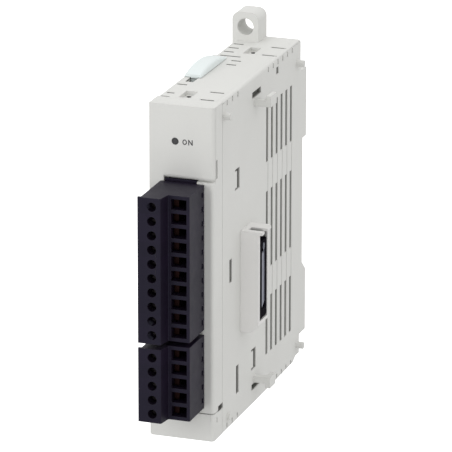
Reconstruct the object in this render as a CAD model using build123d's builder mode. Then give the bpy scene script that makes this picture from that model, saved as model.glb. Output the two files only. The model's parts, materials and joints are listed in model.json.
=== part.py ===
from build123d import *
import os

os.makedirs("parts", exist_ok=True)

# A slim rail module: a white case with a right side plate, a front frame with two
# pluggable terminal blocks, slide locks, a rail hook and the circuit board inside.
# Places are given as x across from the left side, y deep from the front face and
# z high from the underside. The row's origin is on the rear plane at the rail's centre.

# ---- overall ----------------------------------------------------------------
case_w = 17.6
case_h = 90.0
case_d = 74.0
rail_h = 44.55        # height of the rail's centre
wall = 1.6
plate_t = 1.6         # right side plate
edge_round = 0.8
low_edge_round = 0.4
fit_gap = 0.15        # between pieces that slide or lift out
seam = 0.25           # open seams at the front
line_w = 0.18         # shadow lines
over = 1.0            # how far a cut runs past a face
bite = 0.1            # how far a block runs into the one that carries it

left = -case_w / 2
front = -case_d
floor = -rail_h
plate_x = case_w - plate_t
mid_h = case_h / 2

# ---- heights along the front ------------------------------------------------
pitch = 3.81
upper_count = 10
lower_count = 5
pole_count = {"upper": upper_count, "lower": lower_count}
block_margin = 0.45   # beyond the last pole, each end
header_over = 0.6     # header past the plug, at the ends that don't face the other one
cut_gap = 0.2
plug_gap = 1.375      # between the two plugs
foot_h = 7.7
foot_rib = 0.875      # frame between the foot cover and the lower header
cover_gap = 0.1

lower_mid = foot_h + foot_rib + cut_gap + header_over + block_margin + lower_count * pitch / 2
upper_mid = lower_mid + (lower_count + upper_count) * pitch / 2 + 2 * block_margin + plug_gap
block_mid = {"upper": upper_mid, "lower": lower_mid}
cover_low = upper_mid + upper_count * pitch / 2 + block_margin + header_over + cover_gap

# ---- rear: rail groove and screw tabs ---------------------------------------
groove_w = 35.1       # takes a 35 mm rail
groove_d = 3.0
rear_block_d = 5.0    # the rail blocks stand out behind the rest of the case
block_drop = 8.8      # from the top of the case down to the rail blocks
block_low = 7.0
ramp = 2.7            # slope under the groove
taper_start = 35.0
taper = 0.5
foot_step = 1.8
foot_step_d = 2.9
lip_reach = 1.8
lip_t = 1.7
lip_x = (2.0, 14.0)

plate_rear = case_d - rear_block_d
block_top = case_h - block_drop
groove_low = rail_h - groove_w / 2
groove_top = rail_h + groove_w / 2
ramp_low = groove_low - ramp

tab_w = 7.4
tab_x = 4.3
tab_t = 6.6
tab_reach = 8.0       # above and below the case
tab_round = 2.2
screw_pitch = 98.0
screw_hole_r = 2.25

# ---- front ------------------------------------------------------------------
frame_d = 6.4
frame_wall = 1.4
cover_t = 1.2
leg_w = 4.0
leg_h = 4.2
front_round = 1.0
front_round_left = 0.2
foot_corner = 0.6
cover_corner = 1.2
lamp_x = 7.1
lamp_share = 0.51     # share of the cover's height that is below the lamp
lamp_h = cover_low + lamp_share * (case_h - cover_low)
lamp_hole_r = 0.95
pipe_r = 0.88
pipe_sink = 0.08
flange = 0.7
flange_t = 0.9
skirt_slot_y = (1.6, 2.8)
skirt_slot_rise = (0.4, 5.4)
window_y = (3.3, 7.0)     # square window where frame, foot cover and plate meet
window_z = (7.2, 8.75)
tick_y = (2.1, 2.7)
tick_z = (4.6, 6.0)
tick_d = 0.8

plug_front = -15.5
plug_step = -11.5
plug_rear = -0.4
plug_left = 3.3
plug_lip = 0.8
plug_lip_t = 0.7
plug_right = 15.1
plug_round = 0.2
step_x = (8.7, 9.35)
screw_x = 6.35
head_r = 1.08
head_t = 1.4
head_sink = 3.0
head_clear = 0.15
shank_r = 0.85
shank_clear = 0.05
shank_end = -4.3
slit_w = 0.4
slit_d = 0.5
wire_x = (10.1, plug_right - 0.8)
wire_h = 2.8
wire_end = -3.4
jaw_t = 0.7
jaw_y = (-9.6, -4.2)
jaw_h = 2.2
contact_t = 0.6
tongue_x = (5.4, 11.6)
tongue_end = 7.4
tongue_inset = 1.5
pin = 0.8
pin_tip = 2.2
socket_w = 1.6
socket_hole = 1.2
notch_y = (-2.4, -1.2)
notch_h = 1.5
notch_d = 0.5

header_wall = 0.9
header_gap = 0.3      # around the plug's tongue
header_front = 0.3
header_floor = 1.5
header_depth_gap = 0.6
board_gap = 1.1       # header to board
pin_row = 1.5         # from the board's front edge to the rear of the pins

header_x = (tongue_x[0] - header_gap - header_wall, tongue_x[1] + header_gap + header_wall)
header_y = (header_front, tongue_end + header_depth_gap + header_floor)
pin_x = sum(tongue_x) / 2

# ---- board ------------------------------------------------------------------
board_x = 5.0
board_t = 1.2
board_edge = 5.0      # from the case's top and underside
board_rear_gap = 3.0
board_y = (header_y[1] + board_gap, plate_rear - board_rear_gap)
board_z = (board_edge, case_h - board_edge)
board_face = board_x + board_t
post_r = 2.1
post_in_deep = 9.0    # from the board's edges
post_in_high = 8.25
post_at = [(y, z) for y in (board_y[0] + post_in_deep, board_y[1] - post_in_deep)
           for z in (board_z[0] + post_in_high, board_z[1] - post_in_high)]
post_screw_r = 0.9
post_head_r = 1.7
post_head_t = 1.1
post_bottom = 1.0
post_clear = 0.2
thread_gap = 0.02
pin_end = board_y[0] + pin_row

# ---- bus connectors ---------------------------------------------------------
bus_y = (21.8, 27.3)
bus_z = (27.0, 48.2)
bus_reach = 4.9
bus_tip = case_w + bus_reach
shroud_reach = 5.05
shroud_side = (1.5, 1.1)      # around the connector, front and rear, then below and above
shroud_end = (3.3, 3.1)
shroud_y = (bus_y[0] - shroud_side[0], bus_y[1] + shroud_side[1])
shroud_z = (bus_z[0] - shroud_end[0], bus_z[1] + shroud_end[1])
shroud_x = case_w + shroud_reach
shroud_front = 1.2
shroud_rear = 0.9
shroud_floor = 2.9
shroud_base = 1.6     # wall along the plate
shroud_cap = 0.75
cap_over = 1.0        # how far the shroud's cap reaches past its walls
shroud_mouth = (22.2, 24.6)
shroud_low_cut = 2.0
cap_cut = 0.9
strip_w = 2.3
strip_l = 16.5
strip_y = bus_y[0] + 1.9
strip_sink = 0.25
strip_t = 2.0
strip_margin = 0.4
contact_count = 15
contact_w = 0.5
contact_rise = 0.15
cap_side = 2.4
cap_end = (4.5, 4.3)
cap_y = (bus_y[0] - cap_side, bus_y[1] + cap_side)
cap_z = (bus_z[0] - cap_end[0], bus_z[1] + cap_end[1])
cap_t = 1.2
cap_arm = 0.8
cap_arm_d = 3.3
grip_w = 0.4
grip_pitch = 0.9
grip_count = 4
socket_tip = 1.5
socket_floor = 0.7
mouth_wall = 1.2
mouth_end = 1.8
socket_contact_gap = 0.6

# ---- hooks, pegs and slots on the right side --------------------------------
hook_z = 37.2         # inner face of each hook, above and below the case's middle
hook_h = 1.75
hook_barb = 1.2       # how far the head stands out beyond the arm
hook_y = (30.8, 32.6)
hook_reach = 4.7
hook_head = 1.3
hook_tip = 35.5
hook_space = 1.1
hook_window_y = (hook_y[0] - hook_space, hook_tip + hook_space)
hook_window_z = (39.3, 41.0)
hook_mouth = (36.9, 40.5)     # the window on the left, where the neighbour's hook goes in
peg_r = 0.95
peg_l = 2.0
low_peg_l = 0.8       # the peg at the foot is only a low boss
peg_front = (7.6, 10.8)       # depth of the front pegs, top and bottom
peg_rear = (2.8, 2.2)         # rear pegs, before the rear of the plate
peg_front_edge = (4.0, 3.5)   # from the top and from the underside
peg_rear_edge = (5.8, 4.7)
pegs = ((peg_front[0], case_h - peg_front_edge[0]), (peg_front[1], peg_front_edge[1]),
        (plate_rear - peg_rear[0], case_h - peg_rear_edge[0]), (plate_rear - peg_rear[1], peg_rear_edge[1]))

vent_y = 41.75
vent_end = 7.825      # from the last vent to the rear of the plate
vent_w = 1.6
vent_count = 6
vent_top = 10.7       # from the top of the case down to the vents
vent_top_l = 15.4
vent_low = 10.3
vent_low_l = 15.8
vent_middle = (-10.9, 10.8)
vent_groups = ((case_h - vent_top - vent_top_l, case_h - vent_top), [mid_h + z for z in vent_middle],
               (vent_low, vent_low + vent_low_l))
vent_pitch = (plate_rear - vent_end - vent_y) / (vent_count - 1)
vent_span = (vent_y - vent_w / 2, vent_y + vent_w / 2)
vent_steps = [k * vent_pitch for k in range(vent_count)]
groove_line = 0.3

latch_slots = (((16.3, 17.8), (63.4, 69.0)), ((29.3, 30.9), (9.8, 15.5)))
bracket_w = 2.0
bracket_arm = 0.55
straight_slots = (((12.0, 13.9), (39.6, 45.9)), ((17.3, 19.3), (7.4, 15.1)))
rear_slot_drop = (4.3, 2.4)
rear_slot = ((49.0, 50.7), [case_h - drop for drop in rear_slot_drop])
comb_front = (10.2, 14.3, 18.4)
comb_rear = tuple(vent_span[1] + step for step in vent_steps)
comb_top = comb_front + comb_rear
comb_low = comb_front + comb_rear[2:]
comb_w = 0.8
comb_in = (0.5, 1.9)          # from the top or the underside
comb_d = 0.5

# ---- slots and recesses in the top and the underside ------------------------
slot_w = 0.8
top_slots = [((0.9, 3.2), 6.6), ((1.2, 3.3), 10.1), ((1.1, 3.8), 18.3), ((11.5, 15.2), 6.9),
             ((11.6, 15.4), 14.1)]
top_slots += [((6.9, 9.6), vent_y - vent_pitch / 2), ((6.9, 9.6), vent_y + vent_pitch / 2),
              ((2.4, 8.1), vent_y + 1.5 * vent_pitch)]
top_slots += [((2.1, 4.9), vent_y + (k + 0.5) * vent_pitch) for k in (2, 3, 4)]
top_slots += [((12.7, 16.9), vent_y + (k + 0.5) * vent_pitch) for k in (2, 4)]
recesses = (((5.5, 8.7), (7.0, 13.2)), ((7.5, 10.5), (51.2, 57.6)))
recess_d = 1.1
recess_hole_r = 0.65
recess_hole = (1.2, 1.6)      # in from the recess's left side and from its rear
edge_cut = 1.6

# ---- slide locks ------------------------------------------------------------
lock_x = (0.5, 5.2)
lock_y = (25.0, 45.4)
lock_top_y = 35.0
lock_rise = 1.9
lock_front = 0.7
lock_rear = 0.25
lock_round = 0.7
lock_gap = 0.12
lock_slot_x = (2.2, 4.4)
lock_travel = 3.6
lock_stem_end = 42.8
keeper_over = 0.4
keeper_t = 1.2
end_gap = 0.3         # left at the end of a travel

# ---- rail hook --------------------------------------------------------------
stem_x = (5.2, 12.4)
wing = 1.0
wing_t = 1.0
wing_low = 3.0
channel_d = 3.8
channel_back = case_d - channel_d
rail_hook_y = (channel_back + 0.2, case_d - 0.2)
rail_hook_low = 1.0
rail_hook_top = groove_low - 0.4
nose_t = 1.5
nose_rise = 2.4
nose_chamfer = 0.4
pull_hole_w = 4.4
pull_hole_z = (2.2, 5.0)
spring_r = 1.25
spring_wire = 0.22
spring_pitch = 1.5
spring_window_z = (9.0, 21.0)
spring_space = 0.6
peg_gap = 0.3
spring_seat = 1.5
seat_short = 0.4


def spot(x, y, z):
    return (left + x, front + y, floor + z)


def block(x, y, z, mode=Mode.ADD, deep=(0,), high=(0,)):
    """A box between two places across, deep and high, repeated at steps deep and high."""
    size = [abs(b - a) for a, b in (x, y, z)]
    corners = [spot(min(x), min(y) + dy, min(z) + dz) for dy in deep for dz in high]
    with Locations(*corners):
        Box(*size, align=(Align.MIN, Align.MIN, Align.MIN), mode=mode)


def rod(places, r, length, along, mode=Mode.ADD):
    """Cylinders that start at places and run along a direction."""
    with Locations(*[Plane(origin=spot(*place), z_dir=along) for place in places]):
        Cylinder(r, length, align=(Align.CENTER, Align.CENTER, Align.MIN), mode=mode)


def side_shape(points):
    """A closed outline in a sketch plane across the module, given as depth and height."""
    Polygon(*[(front + y, floor + z) for y, z in points], align=None)


def save(piece, name):
    piece.part.label = name
    export_step(piece.part, f"parts/{name}.step")


def widen(span, margin):
    return (span[0] - margin, span[1] + margin)


def case_outline(start):
    """Side outline of the case from the depth where it starts."""
    slope = taper / (plate_rear - taper_start)
    under_y = plate_rear - 2 * foot_step_d
    return [
        (start, 0), (taper_start, 0), (under_y, (under_y - taper_start) * slope),
        (plate_rear - foot_step_d, foot_step), (plate_rear, foot_step), (plate_rear, block_low),
        (case_d, block_low), (case_d, ramp_low), (case_d - groove_d, groove_low),
        (case_d - groove_d, groove_top), (case_d, groove_top), (case_d, block_top),
        (plate_rear, block_top), (plate_rear, case_h), (start, case_h)]


def round_long_edges(piece, x):
    """Rounds the long edges at the top and the underside that lie at one place across."""
    for side, r in ((1, edge_round), (-1, low_edge_round)):
        found = []
        for edge in piece.edges():
            c = edge.center()
            at_side, outermost = abs(c.X - left - x) < 0.01, side * (c.Z - floor - mid_h) > mid_h - taper
            if at_side and outermost and edge.length > frame_d:
                found.append(edge)
        fillet(found, r)


def round_front(piece):
    """Rounds the two upright edges at the front, the left one only a little."""
    for side, r in ((1, front_round), (-1, front_round_left)):
        uprights = piece.edges().filter_by(Axis.Z).group_by(Axis.Y)[0]
        fillet(uprights.filter_by(lambda edge: abs(edge.center().X - side * case_w / 2) < 0.01), r)


def pole_heights(name):
    poles = pole_count[name]
    return [block_mid[name] + (k - (poles - 1) / 2) * pitch for k in range(poles)]


def plug_span(name):
    heights = pole_heights(name)
    return heights[0] - pitch / 2 - block_margin, heights[-1] + pitch / 2 + block_margin


# ---- main case --------------------------------------------------------------
stem_mid = sum(stem_x) / 2
spring_window_x = widen((stem_mid, stem_mid), spring_r + spring_space)

with BuildPart() as main_case:
    with BuildSketch(Plane.YZ.offset(left)):
        side_shape(case_outline(frame_d))
    extrude(amount=plate_x)
    round_long_edges(main_case, 0)
    with BuildSketch(Plane.XZ.offset(case_d - plate_rear)):
        tab_mid = mid_h + tab_reach - tab_w
        with Locations(*[(left + tab_x, floor + mid_h + side * tab_mid) for side in (1, -1)]):
            RectangleRounded(tab_w, 2 * tab_w, tab_round)
    extrude(amount=tab_t)
    with BuildSketch(Plane.YZ.offset(left + wall)):
        side_shape(case_outline(frame_d - 2 * wall))
        offset(amount=-wall, kind=Kind.INTERSECTION)
    extrude(amount=case_w, mode=Mode.SUBTRACT)
    rod([(tab_x, plate_rear + over, mid_h + side * screw_pitch / 2) for side in (1, -1)], screw_hole_r,
        tab_t + 2 * over, (0, -1, 0), Mode.SUBTRACT)
    for side in (1, -1):
        outside, inside = mid_h + side * (mid_h + over), mid_h + side * (mid_h - wall - over)
        # openings for the slide lock and the neighbour's hook
        block(lock_slot_x, (lock_y[0] - lock_travel - end_gap, lock_stem_end + end_gap), (inside, outside),
              Mode.SUBTRACT)
        block((-over, wall + over), hook_window_y, [mid_h + side * z for z in hook_mouth], Mode.SUBTRACT)
        # slots and recesses, the same in the top and in the underside
        for across, y in top_slots:
            block(across, widen((y, y), slot_w / 2), (inside, outside), Mode.SUBTRACT)
        for across, y in recesses:
            block(across, y, (mid_h + side * (mid_h - recess_d), outside), Mode.SUBTRACT)
            rod([(across[0] + recess_hole[0], y[1] - recess_hole[1], inside)], recess_hole_r, wall + 2 * over,
                (0, 0, side), Mode.SUBTRACT)
        # the long left edge is cut back behind the slide lock
        cut_start = lock_y[1] + 2
        edge_z = floor + mid_h + side * mid_h
        with BuildSketch(Plane.XZ.offset(case_d - cut_start)):
            Polygon((left, edge_z), (left + edge_cut, edge_z), (left, edge_z - side * edge_cut), align=None)
        extrude(amount=cut_start + tab_t - plate_rear, mode=Mode.SUBTRACT)
        # and beside the tab, up to its left face
        tab_side = left + tab_x - tab_w / 2
        with BuildSketch(Plane.XZ.offset(case_d - plate_rear)):
            Polygon((left - over, edge_z + side * over), (tab_side, edge_z + side * over),
                    (tab_side, edge_z - side * (edge_cut - tab_side + left)), (left, edge_z - side * edge_cut),
                    (left - over, edge_z - side * edge_cut), align=None)
        extrude(amount=tab_t, mode=Mode.SUBTRACT)
    rod([(-over, y, z) for y, z in pegs], peg_r + fit_gap, wall + 2 * over, (1, 0, 0), Mode.SUBTRACT)
    # left wall: window for the bus socket's cover, and vents
    block((-over, wall + over), cap_y, cap_z, Mode.SUBTRACT)
    for span in vent_groups:
        block((-over, wall + over), vent_span, span, Mode.SUBTRACT, deep=vent_steps)
    # fixed lip over the rail's upper edge
    block(lip_x, (case_d - lip_t, case_d), (groove_top - lip_reach, groove_top + bite))
    # housing of the rail hook, with the seat of its spring
    block(widen(stem_x, wing + wall), (channel_back - wall, case_d), (block_low, ramp_low))
    block(widen(stem_x, wing + fit_gap), (channel_back, rail_hook_y[0] + wing_t + fit_gap), (-over, ramp_low),
          Mode.SUBTRACT)
    block(widen(stem_x, fit_gap), (channel_back, case_d + over), (-over, rail_hook_top + over), Mode.SUBTRACT)
    block(widen(spring_window_x, -peg_gap), (channel_back - bite, rail_hook_y[1] - seat_short),
          (spring_window_z[0] + peg_gap, spring_window_z[0] + peg_gap + spring_seat))
    # posts that carry the board
    rod([(wall - bite, y, z) for y, z in post_at], post_r, board_x - wall + bite, (1, 0, 0))
    rod([(post_bottom, y, z) for y, z in post_at], post_screw_r + thread_gap, board_x, (1, 0, 0),
        Mode.SUBTRACT)
save(main_case, "main_case")

# ---- right side plate -------------------------------------------------------
with BuildPart() as side_plate:
    with BuildSketch(Plane.YZ.offset(left + plate_x)):
        side_shape(case_outline(frame_d))
    extrude(amount=plate_t)
    round_long_edges(side_plate, case_w)
    through = (plate_x - over, case_w + over)
    skin = (case_w - line_w, case_w + over)
    # connector shroud, open towards the next module, with a notched cap
    cap_low, base_x = shroud_z[1] - shroud_cap, case_w + shroud_base
    block((case_w, shroud_x), shroud_y, shroud_z)
    chamfer(side_plate.edges().filter_by(Axis.Y).group_by(Axis.X)[-1].sort_by(Axis.Z)[0], shroud_low_cut)
    block((shroud_x - bite, shroud_x + cap_over), shroud_y, (cap_low, shroud_z[1]))
    chamfer(side_plate.edges().filter_by(Axis.Z).group_by(Axis.X)[-1].sort_by(Axis.Y)[-1], cap_cut)
    block((base_x, shroud_x + over), (shroud_y[0] + shroud_front, shroud_y[1] - shroud_rear),
          (shroud_z[0] + shroud_floor, cap_low), Mode.SUBTRACT)
    block((base_x, shroud_x + 2 * over), shroud_mouth, (cap_low - bite, shroud_z[1] + over), Mode.SUBTRACT)
    block((plate_x - over, base_x + bite), widen(bus_y, fit_gap), widen(bus_z, fit_gap), Mode.SUBTRACT)
    # vents, with fine lines between their groups
    for span in vent_groups:
        block(through, vent_span, span, Mode.SUBTRACT, deep=vent_steps)
    for (low, _), (_, high) in zip(vent_groups[:-1], vent_groups[1:]):
        block(skin, (vent_span[1] - groove_line, vent_span[1]), (high, low), Mode.SUBTRACT, deep=vent_steps)
    # latch slots: brackets open to the front, and straight ones
    for y, z in latch_slots:
        block(through, (y[1], y[1] + bracket_w), z, Mode.SUBTRACT)
        block(through, y, (z[0], z[0] + bracket_arm), Mode.SUBTRACT, high=(0, z[1] - z[0] - bracket_arm))
    for y, z in straight_slots + (rear_slot,):
        block(through, y, z, Mode.SUBTRACT)
    # small openings along the long edges
    for places, side in ((comb_top, 1), (comb_low, -1)):
        comb_z = [mid_h + side * (mid_h - inset) for inset in comb_in]
        block((case_w - comb_d, case_w + over), widen((0, 0), comb_w / 2), comb_z, Mode.SUBTRACT, deep=places)
        top_z = (mid_h + side * (mid_h - wall), mid_h + side * (mid_h + over))
        for across, y in top_slots:
            if across[1] > plate_x:
                block((plate_x - over, across[1]), widen((y, y), slot_w / 2), top_z, Mode.SUBTRACT)
    # hooks that pull the next module up, and the windows behind them
    for side in (1, -1):
        near, far = [mid_h + side * z for z in (hook_z, hook_z + hook_h)]
        block(through, hook_window_y, [mid_h + side * z for z in hook_window_z], Mode.SUBTRACT)
        block((case_w - bite, case_w + hook_reach), hook_y, (near, far))
        block((case_w + hook_reach - hook_head, case_w + hook_reach), (hook_y[0], hook_tip),
              (near, far + side * hook_barb))
    for place, length in zip(pegs, (peg_l, low_peg_l, peg_l, peg_l)):
        rod([(case_w - bite, *place)], peg_r, length + bite, (1, 0, 0))
    block(through, (frame_d - over, window_y[1]), window_z, Mode.SUBTRACT)
    # shadow line where the plate meets the frame
    block(skin, (frame_d - over, frame_d + line_w), (-over, case_h + over), Mode.SUBTRACT)
save(side_plate, "side_plate")

# ---- front frame ------------------------------------------------------------
upper_low, upper_top = plug_span("upper")
lower_low, lower_top = plug_span("lower")
between = (upper_low + lower_top) / 2
header_span = {"upper": (between + cut_gap / 2, upper_top + header_over),
               "lower": (lower_low - header_over, between - cut_gap / 2)}
side_skin = (case_w - frame_wall - over, case_w + over)
hollow_x = (frame_wall, case_w - frame_wall)
corner_window = (window_y[0], frame_d + over)

with BuildPart() as front_frame:
    block((0, case_w), (0, frame_d), (foot_h, case_h))
    round_front(front_frame)
    block(hollow_x, (frame_wall, frame_d + over), (foot_h - over, cover_low - wall), Mode.SUBTRACT)
    block(hollow_x, (cover_t + frame_wall, frame_d + over), (foot_h - over, case_h - wall), Mode.SUBTRACT)
    block((-over, case_w + over), (-over, cover_t), (cover_low - seam, case_h + over), Mode.SUBTRACT)
    block((-over, leg_w + fit_gap), (-over, cover_t), (cover_low - leg_h - seam, cover_low), Mode.SUBTRACT)
    block(widen(header_x, cut_gap), (-over, cover_t + frame_wall + over),
          (header_span["lower"][0] - cut_gap, header_span["upper"][1] + cut_gap), Mode.SUBTRACT)
    block(side_skin, skirt_slot_y, [cover_low + rise for rise in skirt_slot_rise], Mode.SUBTRACT)
    block(side_skin, corner_window, (foot_h - over, window_z[1]), Mode.SUBTRACT)
    block((case_w - line_w, case_w + over), (0, cover_t + line_w), (cover_low, case_h + over), Mode.SUBTRACT)
    rod([(lamp_x, 0, lamp_h)], lamp_hole_r + cut_gap / 2, cover_t + frame_wall + over, (0, 1, 0),
        Mode.SUBTRACT)
save(front_frame, "front_frame")

# ---- upper front cover ------------------------------------------------------
with BuildPart() as name_cover:
    block((0, case_w), (0, cover_t), (cover_low, case_h))
    fillet(name_cover.edges().filter_by(Axis.Y).group_by(Axis.Z)[0].sort_by(Axis.X)[-1], cover_corner)
    block((0, leg_w), (0, cover_t), (cover_low - leg_h, cover_low + over))
    round_front(name_cover)
    rod([(lamp_x, -over, lamp_h)], lamp_hole_r, cover_t + 2 * over, (0, 1, 0), Mode.SUBTRACT)
save(name_cover, "name_cover")

# ---- foot cover -------------------------------------------------------------
with BuildPart() as foot_cover:
    block((0, case_w), (0, frame_d), (0, foot_h - seam))
    fillet(foot_cover.edges().filter_by(Axis.Y).group_by(Axis.Z)[0].sort_by(Axis.X)[0], foot_corner)
    round_front(foot_cover)
    block(hollow_x, (frame_wall, frame_d + over), (wall, foot_h + over), Mode.SUBTRACT)
    block(side_skin, corner_window, (window_z[0], foot_h + over), Mode.SUBTRACT)
    block((case_w - tick_d, case_w + over), tick_y, tick_z, Mode.SUBTRACT)
save(foot_cover, "foot_cover")

# ---- terminal blocks --------------------------------------------------------
bar_end = wire_end + bite + 2 * contact_t
socket_x = widen((pin_x, pin_x), socket_w / 2)
bar_x = (socket_x[0], wire_x[1])
pin_span = widen((pin_x, pin_x), pin / 2)
head_y = plug_front + head_sink
head_end = head_y + head_t


def make_plug(name):
    low, high = plug_span(name)
    poles = pole_heights(name)
    lip_y = plug_front + plug_lip_t
    outline = [(plug_left, plug_rear), (plug_left, lip_y), (plug_left - plug_lip, lip_y),
               (plug_left - plug_lip, plug_front), (step_x[0], plug_front), (step_x[1], plug_step),
               (plug_right, plug_step), (plug_right, plug_rear)]
    with BuildPart() as plug:
        with BuildSketch(Plane.XY.offset(floor + low)):
            Polygon(*[(left + x, front + y) for x, y in outline], align=None)
        extrude(amount=high - low)
        outer = plug.edges().filter_by(Axis.Z).filter_by(lambda e: e.center().Y < front + plug_step + bite)
        fillet(outer, plug_round)
        block(tongue_x, (plug_rear - bite, tongue_end), (low + tongue_inset, high - tongue_inset))
        rod([(screw_x, plug_front - over, z) for z in poles], head_r + head_clear,
            over + head_sink + head_t + bite, (0, 1, 0), Mode.SUBTRACT)
        rod([(screw_x, plug_front, z) for z in poles], shank_r + shank_clear,
            shank_end - plug_front + end_gap, (0, 1, 0), Mode.SUBTRACT)
        block(wire_x, (plug_step - over, wire_end), (-wire_h / 2, wire_h / 2), Mode.SUBTRACT, high=poles)
        block(bar_x, (wire_end - bite, bar_end), (-jaw_h / 2, jaw_h / 2), Mode.SUBTRACT, high=poles)
        block(socket_x, (bar_end - bite, tongue_end + over), (-socket_w / 2, socket_w / 2), Mode.SUBTRACT,
              high=poles)
        block((plug_right - notch_d, plug_right + over), notch_y, (-notch_h / 2, notch_h / 2), Mode.SUBTRACT,
              high=poles)
    save(plug, f"{name}_plug")


def make_plug_contacts(name):
    poles = pole_heights(name)
    with BuildPart() as contacts:
        block((wire_x[1] - contact_t, wire_x[1]), (jaw_y[0], bar_end), (-jaw_h / 2, jaw_h / 2), high=poles)
        block(bar_x, (bar_end - contact_t, bar_end), (-jaw_h / 2, jaw_h / 2), high=poles)
        block(socket_x, (bar_end - bite, tongue_end - end_gap), (-socket_w / 2, socket_w / 2), high=poles)
        block(widen((pin_x, pin_x), socket_hole / 2), (pin_tip - 5 * pin, tongue_end + over),
              (-socket_hole / 2, socket_hole / 2), Mode.SUBTRACT, high=poles)
    save(contacts, f"{name}_plug_contacts")


def make_clamp(name, number, z):
    """One pole's screw, and the jaw that it drives."""
    with BuildPart() as screw:
        rod([(screw_x, head_y, z)], head_r, head_t, (0, 1, 0))
        rod([(screw_x, head_end - bite, z)], shank_r, shank_end - head_end + bite, (0, 1, 0))
        block(widen((screw_x, screw_x), 2 * head_r), (head_y - over, head_y + slit_d),
              widen((z, z), slit_w / 2), Mode.SUBTRACT)
    save(screw, f"{name}_screw_{number:02d}")
    start = wire_x[0] + fit_gap
    with BuildPart() as jaw:
        block((start, start + jaw_t), jaw_y, widen((z, z), jaw_h / 2))
        block((start, start + 2 * jaw_t), (jaw_y[0], jaw_y[0] + jaw_t), widen((z, z), jaw_h / 2))
    save(jaw, f"{name}_jaw_{number:02d}")


def make_header(name):
    poles = pole_heights(name)
    low, high = header_span[name]
    with BuildPart() as header:
        block(header_x, header_y, (low, high))
        block(widen(header_x, -header_wall), (header_y[0] - over, header_y[1] - header_floor),
              (low + header_wall, high - header_wall), Mode.SUBTRACT)
        block(pin_span, (header_y[1] - header_floor - over, header_y[1] + over), (-pin / 2, pin / 2),
              Mode.SUBTRACT, high=poles)
    save(header, f"{name}_header")
    with BuildPart() as header_pins:
        block(pin_span, (pin_tip, pin_end), (-pin / 2, pin / 2), high=poles)
        block((board_x - pin, pin_x), (pin_end - pin, pin_end), (-pin / 2, pin / 2), high=poles)
    save(header_pins, f"{name}_header_pins")


for name in pole_count:
    make_plug(name)
    make_plug_contacts(name)
    make_header(name)
    for k, z in enumerate(reversed(pole_heights(name))):
        make_clamp(name, k + 1, z)

# ---- board and what is on it ------------------------------------------------
# Places are counted in from the board's front and lower edges, or from its rear and
# upper edges if they are negative.
# chips: depth, height, size deep, size high, thickness
chips = ((-19.0, 33.0, 10.0, 10.0, 1.6), (-21.0, 17.0, 8.0, 6.0, 1.9), (-9.0, 23.0, 5.0, 8.0, 1.9),
         (14.6, -9.0, 4.6, 7.0, 2.2), (14.6, -17.5, 4.6, 7.0, 2.2), (21.4, 11.0, 7.0, 4.6, 2.2),
         (9.4, -25.0, 6.0, 5.0, 1.7), (25.4, 47.0, 6.0, 5.0, 1.7))
# capacitors: depth, height, radius, length
capacitors = ((-14.0, 49.0, 3.0, 7.0), (-6.0, 49.0, 3.0, 7.0), (15.4, 5.0, 2.5, 5.4), (8.4, -33.0, 2.0, 5.4))
coil_middle = (-23.5, -15.0)
coil_w = 12.0
coil_h = 7.4
core_reach = 1.2
core_inset = 2.0
hole_slack = 1.56     # board hole's radius per width of the pin in it, halved
lamp_in = 4.2         # from the board's front edge
lamp_d = 3.2
lamp_w = 2.2


def middle_of(y, z):
    """Depth and height of a piece whose middle is given in from the board's edges."""
    return [span[0] + v if v > 0 else span[1] + v for span, v in ((board_y, y), (board_z, z))]


def part_block(y, z, deep, high, rise):
    """A box on the board's face with its middle at a depth and height."""
    block((board_face, board_face + rise), (y - deep / 2, y + deep / 2), (z - high / 2, z + high / 2))


coil_y, coil_z = middle_of(*coil_middle)

with BuildPart() as main_board:
    block((board_x, board_face), board_y, board_z)
    rod([(board_x - over, y, z) for y, z in post_at], post_screw_r + post_clear, board_t + 2 * over,
        (1, 0, 0), Mode.SUBTRACT)
    rod([(board_x - over, pin_end - pin / 2, z) for name in pole_count for z in pole_heights(name)],
        pin / 2 * hole_slack, board_t + 2 * over, (1, 0, 0), Mode.SUBTRACT)
save(main_board, "main_board")

with BuildPart() as board_chips:
    for y, z, deep, high, rise in chips:
        part_block(*middle_of(y, z), deep, high, rise)
save(board_chips, "board_chips")

with BuildPart() as board_capacitors:
    for y, z, r, rise in capacitors:
        rod([(board_face, *middle_of(y, z))], r, rise, (1, 0, 0))
save(board_capacitors, "board_capacitors")

with BuildPart() as power_transformer:
    part_block(coil_y, coil_z, coil_w, coil_w, coil_h)
    block((board_face + core_reach, board_face + coil_h - core_reach),
          widen((coil_y, coil_y), coil_w / 2 + core_reach), widen((coil_z, coil_z), coil_w / 2 - core_inset))
save(power_transformer, "power_transformer")

with BuildPart() as board_screws:
    rod([(wall + post_bottom, y, z) for y, z in post_at], post_screw_r,
        board_face + bite - wall - post_bottom, (1, 0, 0))
    rod([(board_face, y, z) for y, z in post_at], post_head_r, post_head_t, (1, 0, 0))
    for y, z in post_at:
        block((board_face + post_head_t - slit_d, board_face + post_head_t + over),
              widen((y, y), post_head_r + bite), widen((z, z), slit_w / 2), Mode.SUBTRACT)
save(board_screws, "board_screws")

with BuildPart() as power_lamp:
    part_block(board_y[0] + lamp_in, lamp_h, lamp_d, lamp_w, lamp_x + lamp_w / 2 - board_face)
save(power_lamp, "power_lamp")

with BuildPart() as light_pipe:
    rod([(lamp_x, pipe_sink, lamp_h)], pipe_r, board_y[0] + lamp_in - lamp_d / 2 - fit_gap - pipe_sink,
        (0, 1, 0))
    rod([(lamp_x, cover_t + frame_wall, lamp_h)], pipe_r + flange, flange_t, (0, 1, 0))
save(light_pipe, "light_pipe")

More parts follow.
